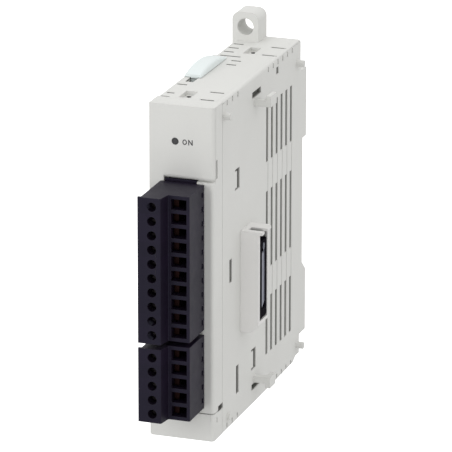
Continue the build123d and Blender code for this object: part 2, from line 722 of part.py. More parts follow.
# ---- bus connectors ---------------------------------------------------------
bus_mid_z = sum(bus_z) / 2
contact_pitch = strip_l / (contact_count + 0.5)
contact_rows = [bus_mid_z + (k - (contact_count - 1) / 2) * contact_pitch for k in range(contact_count)]
strip_z = widen((bus_mid_z, bus_mid_z), strip_l / 2)
strip_face = bus_tip - strip_sink
mouth_y = widen(bus_y, -mouth_wall)

with BuildPart() as bus_plug:
    block((board_face, bus_tip), bus_y, bus_z)
    block((strip_face - strip_t, bus_tip + over), (strip_y, strip_y + strip_w), strip_z, Mode.SUBTRACT)
save(bus_plug, "bus_plug")

with BuildPart() as bus_plug_contacts:
    block((strip_face - strip_t, strip_face), (strip_y, strip_y + strip_w), strip_z)
    block((strip_face - bite, strip_face + contact_rise), widen((strip_y, strip_y + strip_w), -strip_margin),
          widen((0, 0), 0.3 * contact_pitch), high=contact_rows)
save(bus_plug_contacts, "bus_plug_contacts")

with BuildPart() as bus_socket:
    block((socket_tip, board_x), bus_y, bus_z)
    block((socket_tip - over, board_x - socket_floor), mouth_y, widen(bus_z, -mouth_end), Mode.SUBTRACT)
save(bus_socket, "bus_socket")

with BuildPart() as bus_socket_contacts:
    block((socket_tip + socket_contact_gap, board_x - socket_floor), (0, contact_w),
          widen((0, 0), contact_w / 2), deep=(mouth_y[0], mouth_y[1] - contact_w), high=contact_rows)
save(bus_socket_contacts, "bus_socket_contacts")

with BuildPart() as socket_cover:
    inner_y, inner_z = widen(cap_y, -fit_gap), widen(cap_z, -fit_gap)
    block((0, cap_t), inner_y, inner_z)
    block((cap_t - bite, cap_arm_d), bus_y, (inner_z[0], inner_z[0] + cap_arm),
          high=(0, inner_z[1] - inner_z[0] - cap_arm))
    grips = [sum(cap_y) / 2 + (k - (grip_count - 1) / 2) * grip_pitch for k in range(grip_count)]
    block((-over, cap_t / 4), widen((0, 0), grip_w / 2), widen(bus_z, -mouth_end), Mode.SUBTRACT, deep=grips)
save(socket_cover, "socket_cover")

# ---- slide locks ------------------------------------------------------------
for name, side in (("upper", 1), ("lower", -1)):
    base_z = mid_h + side * (mid_h + lock_gap)
    under = mid_h + side * (mid_h - wall - fit_gap)
    stem_y = (lock_y[0], lock_stem_end)
    with BuildPart() as slide_lock:
        with BuildSketch(Plane.YZ.offset(left + lock_x[0])):
            with BuildLine():
                corners = [(front + y, floor + base_z + side * rise) for y, rise in
                           ((lock_y[0], 0), (lock_y[0] + cut_gap, lock_front), (lock_top_y, lock_rise),
                            (lock_y[1], lock_rear), (lock_y[1], 0))]
                Line(corners[0], corners[1])
                ThreePointArc(*corners[1:4])
                Polyline(corners[3], corners[4], corners[0])
            make_face()
        extrude(amount=lock_x[1] - lock_x[0])
        fillet(slide_lock.edges().filter_by(GeomType.CIRCLE), lock_round)
        block(widen(lock_slot_x, -fit_gap), stem_y, (under - side * bite, base_z + side * bite))
        block(widen(lock_slot_x, keeper_over), stem_y, (under - side * keeper_t, under))
    save(slide_lock, f"{name}_slide_lock")

# ---- rail hook and its spring -----------------------------------------------
nose_y = rail_hook_y[1] - nose_t
nose_top = rail_hook_top + nose_rise
with BuildPart() as rail_hook:
    block(stem_x, rail_hook_y, (rail_hook_low, rail_hook_top))
    block(widen(stem_x, wing), (rail_hook_y[0], rail_hook_y[0] + wing_t), (wing_low, ramp_low - end_gap))
    with BuildSketch(Plane.YZ.offset(left + stem_x[0])):
        side_shape([(nose_y, rail_hook_top - bite), (nose_y, nose_top - nose_chamfer),
                    (nose_y + nose_chamfer, nose_top), (rail_hook_y[1], rail_hook_top + nose_chamfer),
                    (rail_hook_y[1], rail_hook_top - bite)])
    extrude(amount=stem_x[1] - stem_x[0])
    through_y = widen(rail_hook_y, over)
    block(spring_window_x, through_y, spring_window_z, Mode.SUBTRACT)
    block(widen((stem_mid, stem_mid), pull_hole_w / 2), through_y, pull_hole_z, Mode.SUBTRACT)
save(rail_hook, "rail_hook")

spring_low = spring_window_z[0] + peg_gap + spring_seat + spring_wire + thread_gap
spring_top = spring_window_z[1] - spring_wire - thread_gap
with BuildPart() as rail_spring:
    with BuildLine() as coil:
        Helix(pitch=spring_pitch, height=spring_top - spring_low, radius=spring_r,
              center=spot(stem_mid, sum(rail_hook_y) / 2, spring_low))
    with BuildSketch(Plane(origin=coil.line @ 0, z_dir=coil.line % 0)):
        Circle(spring_wire)
    sweep(is_frenet=True)
save(rail_spring, "rail_spring")
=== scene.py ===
import json
import math
import bmesh
import bpy
from mathutils import Matrix, Vector

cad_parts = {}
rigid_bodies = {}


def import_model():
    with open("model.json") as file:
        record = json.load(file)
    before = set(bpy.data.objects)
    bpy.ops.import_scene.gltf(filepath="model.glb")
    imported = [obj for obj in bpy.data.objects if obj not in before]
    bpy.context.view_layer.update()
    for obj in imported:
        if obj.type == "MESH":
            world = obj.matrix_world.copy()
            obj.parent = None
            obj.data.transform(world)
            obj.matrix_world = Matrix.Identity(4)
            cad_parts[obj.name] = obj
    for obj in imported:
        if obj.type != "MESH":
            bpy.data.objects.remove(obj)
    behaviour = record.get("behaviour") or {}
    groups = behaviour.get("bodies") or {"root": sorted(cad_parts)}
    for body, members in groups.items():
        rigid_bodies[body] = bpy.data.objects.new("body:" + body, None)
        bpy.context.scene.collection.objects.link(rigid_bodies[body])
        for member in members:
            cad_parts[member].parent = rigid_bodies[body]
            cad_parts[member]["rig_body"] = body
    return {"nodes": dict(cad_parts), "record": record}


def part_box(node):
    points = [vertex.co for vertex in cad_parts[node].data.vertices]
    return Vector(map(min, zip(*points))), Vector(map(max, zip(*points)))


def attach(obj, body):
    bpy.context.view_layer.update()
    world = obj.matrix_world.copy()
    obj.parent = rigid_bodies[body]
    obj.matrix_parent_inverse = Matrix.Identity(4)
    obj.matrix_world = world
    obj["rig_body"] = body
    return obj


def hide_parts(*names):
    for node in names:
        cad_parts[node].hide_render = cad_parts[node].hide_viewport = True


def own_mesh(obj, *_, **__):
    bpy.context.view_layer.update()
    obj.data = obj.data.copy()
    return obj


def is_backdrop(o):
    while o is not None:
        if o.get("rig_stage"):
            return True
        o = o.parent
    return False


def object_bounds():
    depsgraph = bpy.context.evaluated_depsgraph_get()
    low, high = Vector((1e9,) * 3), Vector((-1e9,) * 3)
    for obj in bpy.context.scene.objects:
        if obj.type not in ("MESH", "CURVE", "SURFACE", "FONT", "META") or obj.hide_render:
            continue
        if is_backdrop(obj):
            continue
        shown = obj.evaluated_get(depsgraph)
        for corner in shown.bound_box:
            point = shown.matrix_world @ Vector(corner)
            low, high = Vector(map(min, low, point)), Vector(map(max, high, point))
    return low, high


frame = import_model()
cadLow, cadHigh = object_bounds()
nodes = frame["nodes"]
mm = 0.001
print("frame loaded:", len(nodes), "CAD nodes")


# a socket that Python operators turn into Math nodes
class Sock:
    def __init__(self, shader, out):
        self.shader = shader
        self.out = out

    def maths(self, operation, a, b=0.0):
        return self.shader.add("ShaderNodeMath", {"operation": operation}, {0: a, 1: b})

    def __add__(self, other):
        return self.maths("ADD", self, other)

    def __sub__(self, other):
        return self.maths("SUBTRACT", self, other)

    def __rsub__(self, other):
        return self.maths("SUBTRACT", other, self)

    def __mul__(self, other):
        return self.maths("MULTIPLY", self, other)

    def above(self, level):
        return self.maths("GREATER_THAN", self, level)

    def part(self):
        return self.maths("FRACT", self)

    def whole(self):
        return self.maths("FLOOR", self)

    def clamped(self):
        return self.shader.add("ShaderNodeClamp", {}, {0: self})


class Shader:
    def __init__(self, name):
        self.material = bpy.data.materials.new(name)
        self.material.use_nodes = True
        self.tree = self.material.node_tree
        self.tree.nodes.clear()
        self.output = self.tree.nodes.new("ShaderNodeOutputMaterial")

    # one node: its settings first, then the values or links of its sockets
    def add(self, kind, settings, sockets, out=0):
        node = self.tree.nodes.new(kind)
        for key, value in settings.items():
            if key == "stops":
                for element, (place, shade) in zip(node.color_ramp.elements, value):
                    element.position = place
                    element.color = (shade, shade, shade, 1)
            else:
                setattr(node, key, value)
        for key, value in sockets.items():
            if isinstance(value, Sock):
                self.tree.links.new(value.out, node.inputs[key])
            elif value is not None:
                node.inputs[key].default_value = value
        return Sock(self, node.outputs[out])

    def place(self, stretch=(1, 1, 1)):
        point = self.add("ShaderNodeTexCoord", {}, {}, "Object")
        return self.add("ShaderNodeMapping", {}, {"Vector": point, "Scale": stretch})

    def noise(self, scale, detail=3.0, stretch=(1, 1, 1)):
        sockets = {"Vector": self.place(stretch), "Scale": scale, "Detail": detail}
        return self.add("ShaderNodeTexNoise", {}, sockets, "Fac")

    def cells(self, scale, feature="F1"):
        sockets = {"Vector": self.place(), "Scale": scale}
        return self.add("ShaderNodeTexVoronoi", {"feature": feature}, sockets, "Distance")

    def axis(self, name):
        return self.add("ShaderNodeSeparateXYZ", {}, {0: self.place()}, name)

    # how far a point lies inside a box in millimetres, from 0 to 1
    def inside(self, low, high, fade):
        held = None
        for name, a, b in zip("XYZ", low, high):
            at = self.axis(name)
            for gap in (at - a * mm, b * mm - at):
                near = (gap * (1 / (fade * mm))).clamped()
                held = near if held is None else held * near
        return held

    def chance(self, value):
        settings = {"noise_dimensions": "1D"}
        return self.add("ShaderNodeTexWhiteNoise", settings, {"W": value}, "Value")

    def ramp(self, fac, low, high):
        return self.add("ShaderNodeValToRGB", {"stops": (low, high)}, {0: fac}, "Color")

    def blend(self, fac, a, b):
        sides = [(*side, 1) if isinstance(side, tuple) else side for side in (a, b)]
        sockets = {0: fac, 6: sides[0], 7: sides[1]}
        return self.add("ShaderNodeMix", {"data_type": "RGBA"}, sockets, 2)

    def bump(self, height, strength, distance, normal=None):
        sockets = {"Height": height, "Strength": strength, "Distance": distance, "Normal": normal}
        return self.add("ShaderNodeBump", {}, sockets, "Normal")

    def finish(self, sockets):
        surface = self.add("ShaderNodeBsdfPrincipled", {}, sockets, "BSDF")
        self.tree.links.new(surface.out, self.output.inputs["Surface"])
        return self.material


# ---------------------------------------------------------------- finishes
roundedEdge = 0.2
polePitch = 3.81
hollowShade = {"share": 0.85, "tone": (0.15, 0.15, 0.135), "spareFade": 0.02}


# moulded plastic: slow tone changes, fine spark-eroded grain, edges glossier as if polished by
# handling and lightened by a painted highlight, painted shade in hollows, painted light and shade
# in boxes; a terminal block gets its own tone for each pole, counted up from bandStart
def mouldedPlastic(name, pale, deep, rough, grain, specular, edgeHighlight, tint=(1, 1, 1),
                   bandStart=None, shadedHollows=(), paintedLightAndShade=()):
    s = Shader(name)
    fleck = s.noise(2600.0, 2.0)
    tone = (s.noise(55.0, 4.0) * 0.8 + fleck * 0.2).clamped()
    if bandStart is not None:
        step = (s.axis("Z") - bandStart * mm) * (1 / (polePitch * mm))
        flow = s.noise(420.0, 3.0, (1, 1, 0.2))
        tone = (s.chance(step.whole()) * 0.55 + step.part() * 0.15 + flow * 0.5 - 0.1).clamped()
    colour = s.blend(s.ramp(tone, (0.30, 0.0), (0.70, 1.0)), deep, pale)
    rounded = s.add("ShaderNodeBevel", {"samples": 4}, {"Radius": roundedEdge * mm}, "Normal")
    sharp = s.add("ShaderNodeNewGeometry", {}, {}, "Normal")
    facing = s.add("ShaderNodeVectorMath", {"operation": "DOT_PRODUCT"},
                   {0: rounded, 1: sharp}, "Value")
    edge = s.ramp(facing, (0.80, 1.0), (0.99, 0.0))
    # painted highlight: rounded edges lightened towards the pale tone
    colour = s.blend(edge * 0.8, colour, tuple(min(1.0, c + edgeHighlight) for c in pale))
    # painted shade on walls inside narrow openings, except in the spared boxes
    for low, high, fade, spared in shadedHollows:
        held = s.inside(low, high, fade) * hollowShade["share"]
        for box in spared:
            held = held * (1 - s.inside(*box, hollowShade["spareFade"]))
        colour = s.blend(held, colour, hollowShade["tone"])
    # boxes of painted light and painted shade
    for low, high, fade, tone in paintedLightAndShade:
        colour = s.blend(s.inside(low, high, fade), colour, tone)
    sheen = (s.noise(320.0, 3.0) - 0.5) * 0.14 + rough
    pits = s.cells(5200.0, "SMOOTH_F1") * 0.6 + fleck * 0.4
    return s.finish({"Base Color": colour, "Roughness": (sheen - edge * 0.1).clamped(),
                     "Specular IOR Level": specular, "Specular Tint": (*tint, 1),
                     "Normal": s.bump(pits, 0.5, grain * mm, rounded)})


def metal(name, pale, deep, rough, streaks=(1, 1, 1), tarnish=None):
    s = Shader(name)
    lines = s.noise(2400.0, 3.0, streaks)
    tone = s.noise(180.0, 4.0) * 0.5 + lines * 0.5
    colour = s.blend(s.ramp(tone, (0.35, 0.0), (0.65, 1.0)), deep, pale)
    if tarnish:
        stain = s.ramp(s.noise(700.0, 5.0), (0.42, 0.0), (0.62, 1.0)) * 0.7
        colour = s.blend(stain, colour, tarnish)
    sheen = (lines - 0.5) * 0.22 + rough
    return s.finish({"Base Color": colour, "Metallic": 1.0, "Roughness": sheen.clamped(),
                     "Normal": s.bump(lines, 0.5, 0.004 * mm)})


# solder mask over copper tracks that run along and across the board
def boardMask(name):
    s = Shader(name)
    patch = s.cells(150.0)
    turn = s.noise(70.0, 0.0).above(0.5)
    along = (s.axis("Y") * 1250.0).part().above(0.66)
    across = (s.axis("Z") * 1100.0).part().above(0.68)
    track = (along * turn + across * (1 - turn)) * patch.above(0.32)
    via = 1 - s.cells(520.0).above(0.09)
    colour = s.blend(track, (0.008, 0.095, 0.040), (0.020, 0.20, 0.085))
    colour = s.blend(via * 0.8, colour, (0.45, 0.42, 0.30))
    return s.finish({"Base Color": colour, "Roughness": 0.34, "Coat Weight": 0.3,
                     "Normal": s.bump(track * 0.8 + s.noise(1500.0) * 0.2, 0.6, 0.03 * mm)})


def plainFinish(name, pale, deep, rough, scale=900.0, grain=0.01, coat=0.0):
    s = Shader(name)
    tone = s.noise(scale, 4.0)
    colour = s.blend(s.ramp(tone, (0.35, 0.0), (0.65, 1.0)), deep, pale)
    sheen = (s.noise(scale * 0.4) - 0.5) * 0.16 + rough
    return s.finish({"Base Color": colour, "Roughness": sheen.clamped(), "Coat Weight": coat,
                     "Normal": s.bump(tone, 0.4, grain * mm)})


whiteLook = {"pale": (0.74, 0.74, 0.715), "deep": (0.71, 0.71, 0.685), "rough": 0.50,
             "grain": 0.04, "specular": 0.30, "edgeHighlight": 0.03}
white = mouldedPlastic("whitePlastic", **whiteLook)
# Boxes in millimetres with the width of their soft edge. Walls inside narrow openings get painted
# shade, except in the spared boxes; a box with a tone of its own paints that tone as light or
# shade.
# painted shade on the walls of the side plate's vents
plateWallShade = ((7.25, -90, -44.05), (8.76, -5.2, 44.05), 0.45, ())
# painted light on the connector shroud
shroudPaintedLight = ((8.95, -60, -30), (16, -40, 10), 0.2, (0.81, 0.80, 0.785))
# painted shade inside the shroud's mouth
shroudShade = ((9.5, -53.5, -18.9), (13.85, -45.65, 6.7), 0.85, (0.24, 0.24, 0.235))
frontRecess = ((-3.4, -67.1, 44.3), (0.0, -60.7, 46))
rearRecess = ((-1.4, -22.9, 44.3), (1.8, -16.3, 46))
slotDepth = ((-6.8, -54, 43), (-4.2, -48, 45.0))
# painted shade on the walls of the top's openings, except in the recesses and deep in the lock slot
topWallShade = [((-8.1, -70, 43.9), (7.9, -27, 45.39), 0.08, (frontRecess, slotDepth)),
            ((-7.1, -27.1, 43.9), (7.9, -12.6, 45.39), 0.08, (rearRecess,))]
# painted shade: the holes in the recesses nearly black
recessHoleShade = [((-2.85, -63.15, 42), (-1.35, -61.65, 44.34), 0.03, (0.02, 0.02, 0.018)),
               ((-0.85, -18.75, 42), (0.65, -17.25, 44.34), 0.03, (0.02, 0.02, 0.018))]
# painted shade in the hollow of the foot cover
cornerWallShade = ((6.5, -70.9, -37.6), (8.72, -66.5, -35.6), 0.10, ())
# painted shade on the slide locks' necks inside their slots
lockWallShade = {"upper": ((-7, -54, 44.95), (-4, -30, 45.36), 0.08, ()),
             "lower": ((-7, -54, -45.36), (-4, -30, -44.95), 0.08, ())}
plateFinish = mouldedPlastic("sidePlatePlastic", **whiteLook, shadedHollows=[plateWallShade],
                             paintedLightAndShade=[shroudPaintedLight, shroudShade])
caseFinish = mouldedPlastic("casePlastic", **whiteLook, shadedHollows=topWallShade, paintedLightAndShade=recessHoleShade)
cornerFinish = mouldedPlastic("cornerPlastic", **whiteLook, shadedHollows=[cornerWallShade])
lockLook = {"pale": (0.80, 0.86, 0.855), "deep": (0.78, 0.84, 0.835), "rough": 0.36,
            "grain": 0.012, "specular": 0.40, "edgeHighlight": 0.03}
lockFinish = {side: mouldedPlastic(side + "LockPlastic", **lockLook, shadedHollows=[walls])
              for side, walls in lockWallShade.items()}
blackLook = {"pale": (0.0115, 0.0065, 0.0175), "deep": (0.0095, 0.0055, 0.0145), "rough": 0.46,
             "grain": 0.03, "specular": 0.26, "edgeHighlight": 0.02, "tint": (0.72, 0.83, 1.0)}
black = mouldedPlastic("blackPlastic", **blackLook)
busLook = {"pale": (0.005, 0.004, 0.008), "deep": (0.004, 0.003, 0.006), "rough": 0.6,
           "grain": 0.03, "specular": 0.015, "edgeHighlight": 0.006}
busBlack = mouldedPlastic("busPlastic", **busLook)
plugFinish = {"upper": mouldedPlastic("upperPlugPlastic", **blackLook, bandStart=5.65),
              "lower": mouldedPlastic("lowerPlugPlastic", **blackLook, bandStart=-27.105)}
screwFinish = metal("screwSteel", (0.10, 0.09, 0.09), (0.05, 0.045, 0.05), 0.42, (1, 0.1, 1))
postScrewFinish = metal("zincSteel", (0.60, 0.59, 0.56), (0.46, 0.45, 0.43), 0.32)
# contact copper painted nearly black as painted shade of the deep wire entries; its stains are
# tarnish
copper = metal("contactCopper", (0.030, 0.013, 0.012), (0.019, 0.009, 0.008), 0.5, (1, 0.2, 1),
               (0.02, 0.01, 0.009))
pinFinish = metal("pinMetal", (0.74, 0.66, 0.46), (0.60, 0.54, 0.40), 0.28)
springFinish = metal("springSteel", (0.52, 0.53, 0.55), (0.38, 0.38, 0.41), 0.30)
canFinish = metal("canMetal", (0.68, 0.69, 0.71), (0.58, 0.58, 0.60), 0.32)
board = boardMask("boardMask")
chipFinish = plainFinish("chipPackage", (0.020, 0.020, 0.021), (0.013, 0.013, 0.014), 0.58)
coilFinish = plainFinish("coilTape", (0.62, 0.42, 0.06), (0.52, 0.33, 0.04), 0.30, 400.0)
ferrite = plainFinish("ferriteCore", (0.055, 0.053, 0.050), (0.035, 0.034, 0.033), 0.62, 1400.0,
                      0.03)
lampFinish = plainFinish("lampWindow", (0.040, 0.040, 0.042), (0.028, 0.028, 0.030), 0.25, 700.0,
                         0.004, 0.5)
stripFinish = plainFinish("stripGrey", (0.25, 0.26, 0.32), (0.19, 0.20, 0.25), 0.34, 1100.0,
                          0.006)
inkFinish = plainFinish("printedInk", (0.075, 0.075, 0.08), (0.055, 0.055, 0.06), 0.5, 2600.0,
                        0.003)
print("finishes made")


# ---------------------------------------------------------------- mesh tools
# gaps in millimetres within which points join, and the angle below which faces do
weld = {"cad": 0.002, "lathe": 0.0001, "flat": 0.6}
# the least fold of an edge that is rounded, its least length and the least width beside it
softEdge = {"fold": 24.0, "length": 2.2, "room": 2.6}
smoothAngle = {"usual": 32.0, "screw": 40.0, "spring": 60.0}


# a copy of a CAD node, its triangles joined into flat faces
def cleanCopy(node):
    bm = bmesh.new()
    bm.from_mesh(nodes[node].data)
    bmesh.ops.remove_doubles(bm, verts=bm.verts, dist=weld["cad"] * mm)
    bmesh.ops.dissolve_limit(bm, angle_limit=math.radians(weld["flat"]), verts=bm.verts,
                             edges=bm.edges)
    bm.normal_update()
    return bm


def bevel(bm, edges, width):
    bmesh.ops.bevel(bm, geom=edges, offset=width, offset_type="OFFSET", segments=2, profile=0.5,
                    affect="EDGES", clamp_overlap=True, material=-1)


# rounds the outer edges that have room for it on both sides
def soften(bm, width):
    def roomy(edge, face):
        along = (edge.verts[1].co - edge.verts[0].co).normalized()
        across = along.cross(face.normal)
        start = edge.verts[0].co
        reach = max(abs((v.co - start).dot(across)) for v in face.verts)
        return reach > softEdge["room"] * width

    chosen = [edge for edge in bm.edges
              if len(edge.link_faces) == 2 and edge.is_convex
              and edge.calc_length() > softEdge["length"] * width
              and edge.calc_face_angle() > math.radians(softEdge["fold"])
              and all(roomy(edge, face) for face in edge.link_faces)]
    bevel(bm, chosen, width)


def finishPiece(name, bm, material, body, replaced=(), smooth=smoothAngle["usual"]):
    mesh = bpy.data.meshes.new(name)
    bm.to_mesh(mesh)
    bm.free()
    mesh.materials.append(material)
    for face in mesh.polygons:
        face.use_smooth = True
    mesh.set_sharp_from_angle(angle=math.radians(smooth))
    piece = bpy.data.objects.new(name, mesh)
    bpy.context.scene.collection.objects.link(piece)
    piece.modifiers.new("evenShading", "WEIGHTED_NORMAL").keep_sharp = True
    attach(piece, body)
    if replaced:
        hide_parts(*replaced)


def softCopy(name, node, width, material):
    bm = cleanCopy(node)
    soften(bm, width)
    finishPiece(name, bm, material, nodes[node]["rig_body"], [node])


# boxes around the separate solids of a node, from the bottom up
def solids(node):
    bm = cleanCopy(node)
    free = set(bm.verts)
    boxes = []
    while free:
        waiting = [free.pop()]
        found = []
        while waiting:
            vert = waiting.pop()
            found.append(vert.co)
            for edge in vert.link_edges:
                other = edge.other_vert(vert)
                if other in free:
                    free.remove(other)
                    waiting.append(other)
        boxes.append([Vector([pick(co[k] for co in found) for k in range(3)])
                      for pick in (min, max)])
    bm.free()
    return sorted(boxes, key=lambda ends: (ends[0].z, ends[0].y))


# a box, its edges rounded by a width
def block(bm, low, high, width):
    verts = bmesh.ops.create_cube(bm, size=1.0)["verts"]
    bmesh.ops.scale(bm, vec=[b - a for a, b in zip(low, high)], verts=verts)
    bmesh.ops.translate(bm, vec=[(a + b) / 2 for a, b in zip(low, high)], verts=verts)
    bevel(bm, list({edge for vert in verts for edge in vert.link_edges}), width)


# turns a profile of radii and distances about a line
def lathe(bm, start, along, profile, steps):
    along = Vector(along)
    across = along.orthogonal().normalized()
    verts = [bm.verts.new(Vector(start) + across * r + along * d) for r, d in profile]
    edges = [bm.edges.new(pair) for pair in zip(verts, verts[1:])]
    bmesh.ops.spin(bm, geom=verts + edges, cent=start, axis=along, angle=math.tau, steps=steps,
                   use_merge=True)
    bmesh.ops.remove_doubles(bm, verts=bm.verts, dist=weld["lathe"] * mm)
    bmesh.ops.recalc_face_normals(bm, faces=bm.faces)


threadMesh = {"steps": 20, "rowsPerTurn": 6, "crest": 1.3}


# a screw thread that runs out at its end; the sizes in the dictionary are in millimetres
def thread(bm, start, along, length, sizes):
    inner, outer, pitch = [sizes[key] * mm for key in ("threadInner", "threadOuter", "pitch")]
    steps = threadMesh["steps"]
    along = Vector(along)
    across = along.orthogonal().normalized()
    side = along.cross(across)
    rows = round(length / pitch * threadMesh["rowsPerTurn"])
    rings = []
    for row in range(rows + 1):
        d = length * row / rows
        ring = []
        for k in range(steps):
            turn = math.tau * k / steps
            swell = 1 - abs(2 * ((d / pitch - k / steps) % 1) - 1)
            r = inner + (outer - inner) * min(1, threadMesh["crest"] * swell, (length - d) / pitch)
            out = across * math.cos(turn) + side * math.sin(turn)
            ring.append(bm.verts.new(Vector(start) + along * d + out * r))
        rings.append(ring)
    for a, b in zip(rings, rings[1:]):
        for k in range(steps):
            bm.faces.new((a[k], b[k], b[(k + 1) % steps], a[(k + 1) % steps]))
    bm.faces.new(rings[-1])
    bm.faces.new(rings[0][::-1])


# extrudes an outline of points, given flat on one side, along a vector
def slab(bm, points, along):
    face = bm.faces.new([bm.verts.new(point) for point in points])
    made = bmesh.ops.extrude_face_region(bm, geom=[face])["geom"]
    bmesh.ops.translate(bm, vec=along, verts=[v for v in made if isinstance(v, bmesh.types.BMVert)])
    bmesh.ops.recalc_face_normals(bm, faces=bm.faces)


# ---------------------------------------------------------------- white housing
# each piece with its node, the width of its rounded edges and its finish
housing = {"caseShell": ("main_case", 0.18, caseFinish),
           "sidePlate": ("side_plate", 0.16, plateFinish),
           "frontFrame": ("front_frame", 0.14, cornerFinish),
           "nameCover": ("name_cover", 0.16, white),
           "footCover": ("foot_cover", 0.14, cornerFinish),
           "socketCover": ("socket_cover", 0.12, white),
           "railHook": ("rail_hook", 0.16, white)}
lockEdge = 0.16
for pieceName, (node, width, finish) in housing.items():
    softCopy(pieceName, node, width * mm, finish)
for side in ("upper", "lower"):
    softCopy(side + "SlideLock", side + "_slide_lock", lockEdge * mm, lockFinish[side])
print("housing rounded")

# ---------------------------------------------------------------- lamp and its label
label = {"right": 2.0, "height": 1.45, "letter": 1.2, "gap": 0.36, "stroke": 0.26, "ink": 0.03,
         "steps": 24}
lampEdge = 0.25
lampLow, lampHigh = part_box("light_pipe")
softCopy("lampWindow", "light_pipe", lampEdge * mm, lampFinish)
lampX, lampZ = (lampLow.x + lampHigh.x) / 2, (lampLow.z + lampHigh.z) / 2
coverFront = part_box("name_cover")[0].y


# flat bars between the points of a path, raised along a vector
def barPath(bm, points, stroke, rise):
    for a, b in zip(points, points[1:]):
        a, b = Vector(a), Vector(b)
        across = (b - a).normalized().cross(Vector(rise).normalized()) * stroke / 2
        slab(bm, [a - across, a + across, b + across, b - across], rise)


bm = bmesh.new()
half, wide, stroke = label["height"] * mm / 2, label["letter"] * mm, label["stroke"] * mm
startX = lampX + label["right"] * mm
ink = (0, -label["ink"] * mm, 0)
turns = [math.tau * k / label["steps"] for k in range(label["steps"] + 1)]
barPath(bm, [(startX + wide / 2 + (wide - stroke) / 2 * math.cos(turn), coverFront,
              lampZ + (half - stroke / 2) * math.sin(turn)) for turn in turns], stroke, ink)
nLeft = startX + wide + label["gap"] * mm + stroke / 2
nRight = nLeft + wide - stroke
for x in (nLeft, nRight):
    barPath(bm, [(x, coverFront, lampZ - half), (x, coverFront, lampZ + half)], stroke, ink)
barPath(bm, [(nLeft, coverFront, lampZ + half - stroke / 2),
             (nRight, coverFront, lampZ - half + stroke / 2)], stroke, ink)
finishPiece("lampLabel", bm, inkFinish, "case")
print("lamp and label made")

# ---------------------------------------------------------------- terminal blocks
edges = {"plug": 0.13, "header": 0.12, "pins": 0.12, "contacts": 0.06, "head": 0.10, "jaw": 0.07}
clamp = {"threadInner": 0.70, "threadOuter": 0.84, "pitch": 0.6, "headT": 1.4, "cut": 0.1,
         "overlap": 0.05}
ridge = {"count": 4, "start": 0.7, "step": 0.95, "rise": 0.14, "crest": 0.12, "width": 0.3,
         "side": 0.15, "plateT": 0.7, "sink": 0.02}
for side in ("upper", "lower"):
    softCopy(side + "Plug", side + "_plug", edges["plug"] * mm, plugFinish[side])
    softCopy(side + "Header", side + "_header", edges["header"] * mm, black)
    softCopy(side + "HeaderPins", side + "_header_pins", edges["pins"] * mm, pinFinish)
    softCopy(side + "PlugContacts", side + "_plug_contacts", edges["contacts"] * mm, copper)

for node in [name for name in nodes if "_screw_" in name]:
    side, _, number = node.split("_")
    low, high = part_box(node)
    headEnd = low.y + clamp["headT"] * mm
    bm = cleanCopy(node)
    cut = headEnd + clamp["cut"] * mm
    shank = [face for face in bm.faces if face.calc_center_median().y > cut]
    bmesh.ops.delete(bm, geom=shank, context="FACES")
    soften(bm, edges["head"] * mm)
    start = Vector(((low.x + high.x) / 2, headEnd - clamp["overlap"] * mm, (low.z + high.z) / 2))
    thread(bm, start, (0, 1, 0), high.y - start.y, clamp)
    finishPiece(f"{side}Screw{number}", bm, screwFinish, node, [node],
                smoothAngle["screw"])

for node in [name for name in nodes if "_jaw_" in name]:
    side, _, number = node.split("_")
    low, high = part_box(node)
    bm = cleanCopy(node)
    soften(bm, edges["jaw"] * mm)
    plate = low.x + ridge["plateT"] * mm
    z = low.z + ridge["side"] * mm
    for k in range(ridge["count"]):
        y = high.y - (ridge["start"] + ridge["step"] * k) * mm
        corners = [(plate - ridge["sink"] * mm, y, z),
                   (plate + ridge["rise"] * mm, y + ridge["crest"] * mm, z),
                   (plate - ridge["sink"] * mm, y + ridge["width"] * mm, z)]
        slab(bm, corners, (0, 0, high.z - low.z - 2 * ridge["side"] * mm))
    finishPiece(f"{side}Jaw{number}", bm, copper, node, [node])
print("terminal blocks made")

# ---------------------------------------------------------------- bus connectors
busEdges = {"plug": 0.14, "socket": 0.12, "contacts": 0.05}
softCopy("busPlug", "bus_plug", busEdges["plug"] * mm, busBlack)
softCopy("busSocket", "bus_socket", busEdges["socket"] * mm, black)
softCopy("busSocketContacts", "bus_socket_contacts", busEdges["contacts"] * mm, pinFinish)
# the tongue ends below the top of its box, with a slanted lower end and fine teeth on one side;
# its slant, and the teeth's start and spare, are multiples of the point's length
tongue = {"point": 0.9, "topDrop": 1.2, "skin": 0.1, "edge": 0.12, "heel": 0.2, "slant": 1.6,
          "cut": 0.3, "nick": 0.1}
tooth = {"pitch": 0.53, "t": 0.26, "deep": 0.4, "far": 0.55, "near": 0.12, "edge": 0.04,
         "start": 1.9, "spare": 2.4}
low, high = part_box("bus_plug_contacts")
bm = bmesh.new()
point, top = tongue["point"] * mm, high.z - tongue["topDrop"] * mm
heel, cut, nick = [tongue[key] * mm for key in ("heel", "cut", "nick")]
outline = [(low.y + heel, low.z), (high.y, low.z + tongue["slant"] * point), (high.y, top - cut),
           (high.y - cut, top), (low.y + nick, top), (low.y, top - nick), (low.y, low.z + point)]
slab(bm, [(low.x, y, z) for y, z in outline], (high.x - low.x - tongue["skin"] * mm, 0, 0))
soften(bm, tongue["edge"] * mm)
for k in range(int((top - low.z - tooth["spare"] * point) / (tooth["pitch"] * mm))):
    z = low.z + tooth["start"] * point + k * tooth["pitch"] * mm
    block(bm, (high.x - tooth["deep"] * mm, high.y - tooth["far"] * mm, z),
          (high.x, high.y - tooth["near"] * mm, z + tooth["t"] * mm), tooth["edge"] * mm)
finishPiece("busTongue", bm, stripFinish, "case", ["bus_plug_contacts"])
